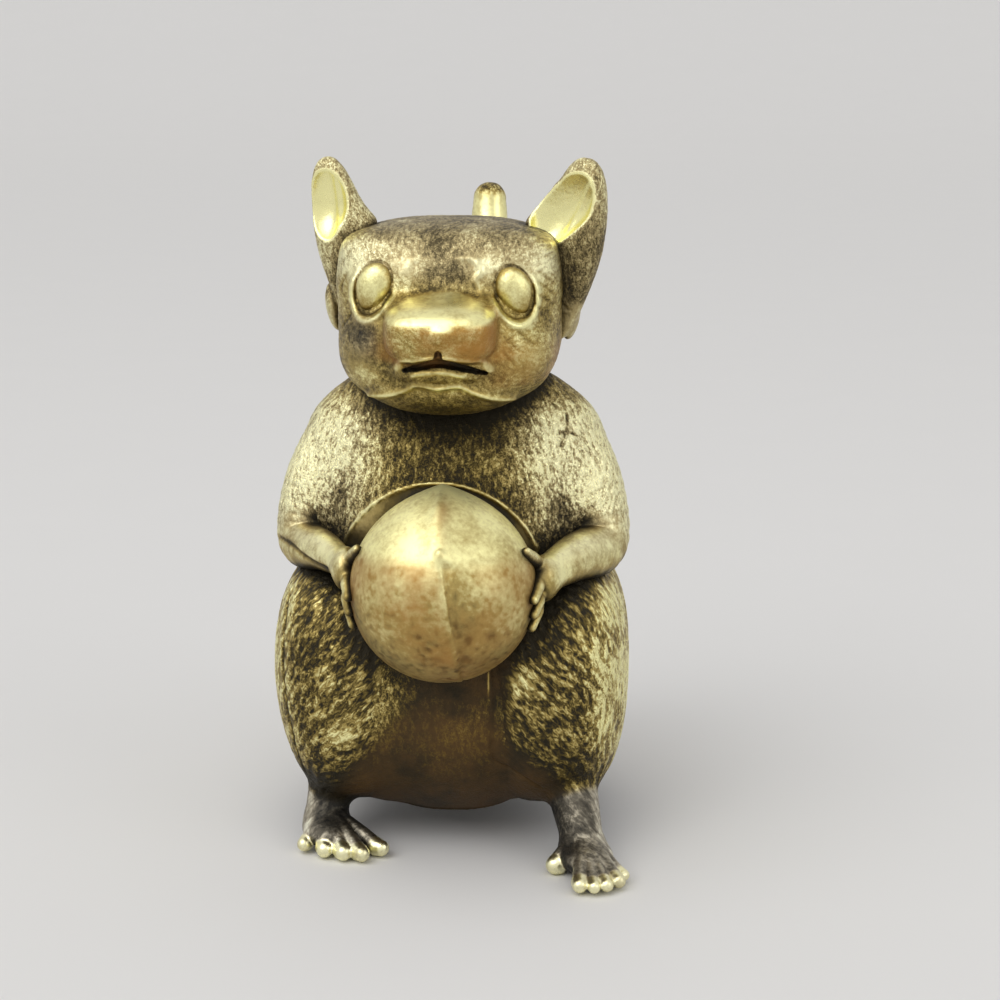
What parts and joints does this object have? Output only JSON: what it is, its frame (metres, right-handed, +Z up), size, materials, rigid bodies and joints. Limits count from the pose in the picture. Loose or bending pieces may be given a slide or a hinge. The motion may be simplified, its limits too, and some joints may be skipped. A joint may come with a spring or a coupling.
{
  "type": "mouse figurine",
  "caption": "Seated mouse figurine in cast antique brass, upright on its hind feet and tail, holding a round pointed fruit to its chest.",
  "frame": {"origin": "on the table plane, under the middle of the figure's bounding box", "axes": "+Z up, the mouse faces -Y and its own left side is at +X"},
  "size_m": [0.0302, 0.0434, 0.0565],
  "materials": {
    "antique_brass": "chased fur with dark patina in the strokes, rubbed bright on the high places",
    "polished_brass": "polished, slightly mottled",
    "plain_brass": "as turned or cast, hidden inside or underneath"
  },
  "bodies": {
    "root": {"torso_casting": "antique_brass", "base_plug": "plain_brass", "head_casting": "antique_brass", "tail": "antique_brass", "fruit": "polished_brass", "fruit_stud": "plain_brass", "right_ear": "antique_brass", "left_ear": "antique_brass", "right_eye": "polished_brass", "left_eye": "polished_brass", "right_arm": "antique_brass", "left_arm": "antique_brass", "right_hind_leg": "antique_brass", "left_hind_leg": "antique_brass", "front_neck_pin": "plain_brass", "back_neck_pin": "plain_brass"}
  },
  "joints": []
}
